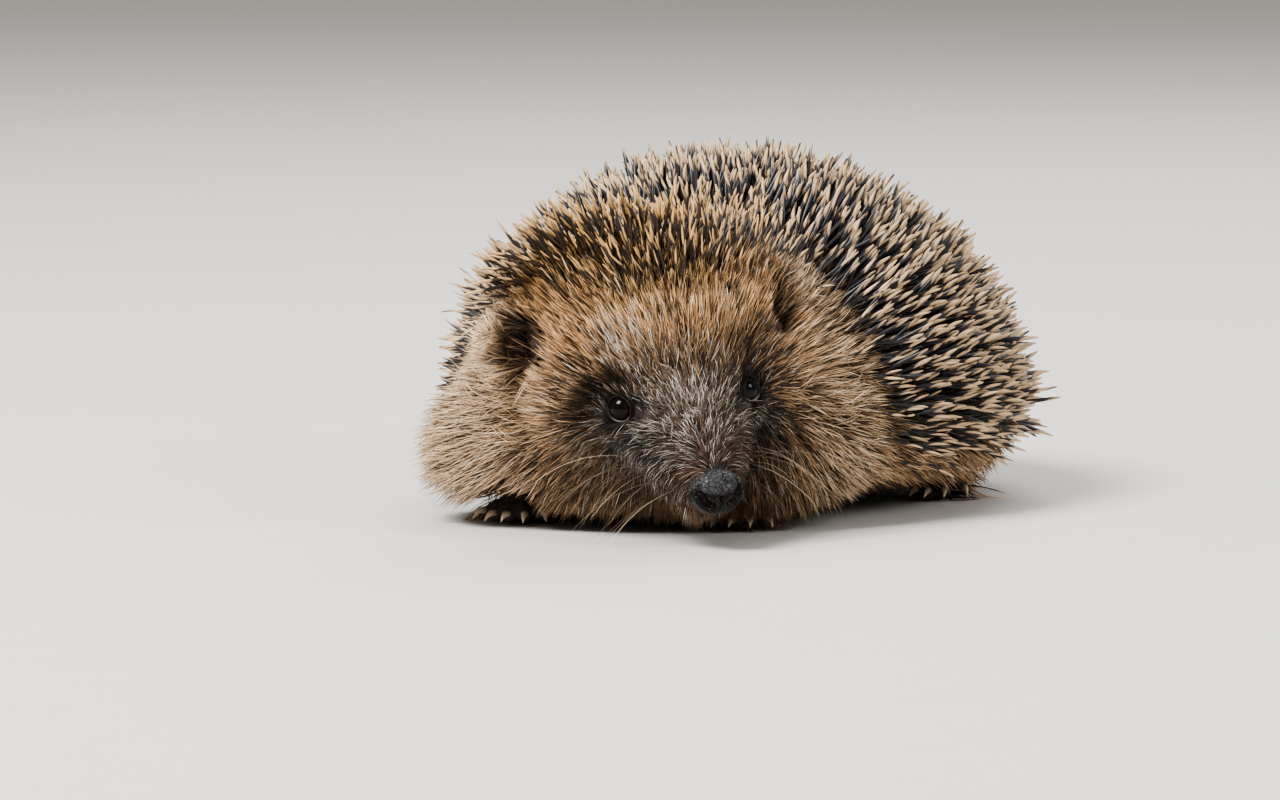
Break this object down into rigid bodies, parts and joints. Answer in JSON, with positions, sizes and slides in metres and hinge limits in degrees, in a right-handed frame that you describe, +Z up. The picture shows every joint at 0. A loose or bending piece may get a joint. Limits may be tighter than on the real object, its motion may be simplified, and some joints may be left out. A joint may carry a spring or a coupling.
{
  "type": "hedgehog",
  "caption": "Life-size young hedgehog crouched on all fours, its head lowered and turned to its left, with quills over the back and fur on face and flanks.",
  "frame": {"origin": "on the floor under the middle of the animal's bounding box", "axes": "+X to the animal's left, +Y towards its tail, +Z up; the trunk faces -Y and the head is turned towards +X"},
  "size_m": [0.1218, 0.1636, 0.0765],
  "materials": {
    "quills": "satin",
    "fur": "matte",
    "skin": "matte",
    "nose_leather": "moist",
    "eye": "glossy",
    "claw": "satin"
  },
  "bodies": {
    "root": {"trunk": "quills", "neck": "fur", "head": "fur", "lower_jaw": "fur", "nose": "nose_leather", "tail": "skin", "eye_left": "eye", "ear_left": "skin", "foreleg_left": "fur", "forefoot_left": "skin", "foreclaw_left_1": "claw", "foreclaw_left_2": "claw", "foreclaw_left_3": "claw", "foreclaw_left_4": "claw", "foreclaw_left_5": "claw", "hindleg_left": "fur", "hindfoot_left": "skin", "hindclaw_left_1": "claw", "hindclaw_left_2": "claw", "hindclaw_left_3": "claw", "hindclaw_left_4": "claw", "hindclaw_left_5": "claw", "eye_right": "eye", "ear_right": "skin", "foreleg_right": "fur", "forefoot_right": "skin", "foreclaw_right_1": "claw", "foreclaw_right_2": "claw", "foreclaw_right_3": "claw", "foreclaw_right_4": "claw", "foreclaw_right_5": "claw", "hindleg_right": "fur", "hindfoot_right": "skin", "hindclaw_right_1": "claw", "hindclaw_right_2": "claw", "hindclaw_right_3": "claw", "hindclaw_right_4": "claw", "hindclaw_right_5": "claw"}
  },
  "joints": []
}
